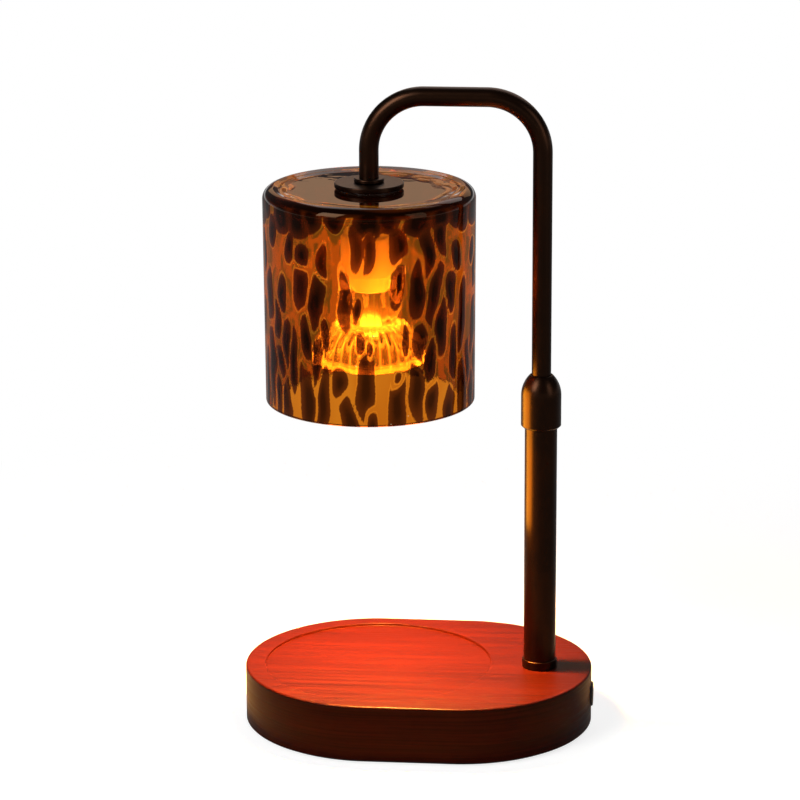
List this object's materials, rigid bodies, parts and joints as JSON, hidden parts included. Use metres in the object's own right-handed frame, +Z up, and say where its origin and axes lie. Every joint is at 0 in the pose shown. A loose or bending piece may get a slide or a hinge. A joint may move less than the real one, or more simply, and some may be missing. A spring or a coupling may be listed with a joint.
{
  "type": "candle warmer lamp",
  "caption": "Table lamp that melts a jar candle from above: glass shade on a height-adjustable gooseneck arm over a round seat in a wooden base.",
  "frame": {"origin": "middle of the anti-slip pad's underside, where the lamp stands", "axes": "+Z up, +X from the candle's seat to the pole, -Y towards the viewer"},
  "size_m": [0.1643, 0.123, 0.304],
  "materials": {
    "stained_wood": "semi-gloss red-brown stain with fine straight grain",
    "foam_pad": "closed-cell foam",
    "zinc_steel": "zinc plated",
    "cast_iron": "rough cast, primed",
    "black_rubber": "moulded",
    "black_nylon": "moulded",
    "white_nylon": "natural nylon",
    "bronze_black_metal": "satin bronze-black",
    "brass": "turned",
    "lead_sleeve": "silicone sleeve",
    "clear_silicone": "translucent silicone",
    "amber_glass": "blown amber glass with dark brown spots",
    "white_ceramic": "unglazed steatite",
    "white_enamel": "white enamelled steel",
    "nickel": "nickel plated",
    "clear_glass": "pressed clear glass",
    "lit_filament": "glowing tungsten"
  },
  "bodies": {
    "base": {"base_board": "stained_wood", "anti_slip_pad": "foam_pad", "bottom_plate": "zinc_steel", "plate_screws": "zinc_steel", "base_weight": "cast_iron", "cord_bush": "black_rubber", "cord_clamp": "black_nylon", "clamp_screws": "zinc_steel", "terminal_block": "white_nylon", "pole_foot_ring": "bronze_black_metal", "lower_tube": "bronze_black_metal", "tube_insert": "zinc_steel", "threaded_nipple": "zinc_steel", "nipple_washer": "zinc_steel", "nipple_nut": "zinc_steel", "collar_ferrule": "brass", "clamp_collet": "white_nylon"},
    "collar": {"lock_collar": "bronze_black_metal"},
    "slider": {"guide_bush": "white_nylon"},
    "arm": {"upper_tube": "bronze_black_metal", "retaining_rings": "zinc_steel", "arm_lead": "lead_sleeve", "neck_ring": "bronze_black_metal", "top_disc": "bronze_black_metal", "top_gasket": "clear_silicone", "glass_shade": "amber_glass", "lower_gasket": "clear_silicone", "clamp_plate": "zinc_steel", "shade_nut": "zinc_steel", "socket_cup": "white_enamel", "holder_bracket": "zinc_steel", "socket_nut": "zinc_steel", "lamp_holder": "white_ceramic", "holder_screws": "zinc_steel", "socket_contacts": "brass"},
    "bulb": {"bulb_base": "white_ceramic", "bulb_pins": "nickel", "bulb_reflector": "clear_glass", "bulb_lens": "clear_glass", "bulb_capsule": "clear_glass", "bulb_filament": "lit_filament"}
  },
  "joints": [
    {"name": "collar_turn", "type": "hinge", "parent": "base", "child": "collar", "pos_m": [0.0572, 0, 0.1453], "axis": [0, 0, 1], "range_deg": [0, 180]},
    {"name": "height_slide", "type": "slide", "parent": "base", "child": "slider", "axis": [0, 0, 1], "range_m": [-0.045, 0.03]},
    {"name": "arm_swivel", "type": "hinge", "parent": "slider", "child": "arm", "pos_m": [0.0572, 0, 0.099], "axis": [0, 0, 1], "range_deg": [-170, 170]},
    {"name": "bulb_twist", "type": "hinge", "parent": "arm", "child": "bulb", "pos_m": [-0.022, 0, 0.2221], "axis": [0, 0, 1], "range_deg": [0, 20]}
  ]
}
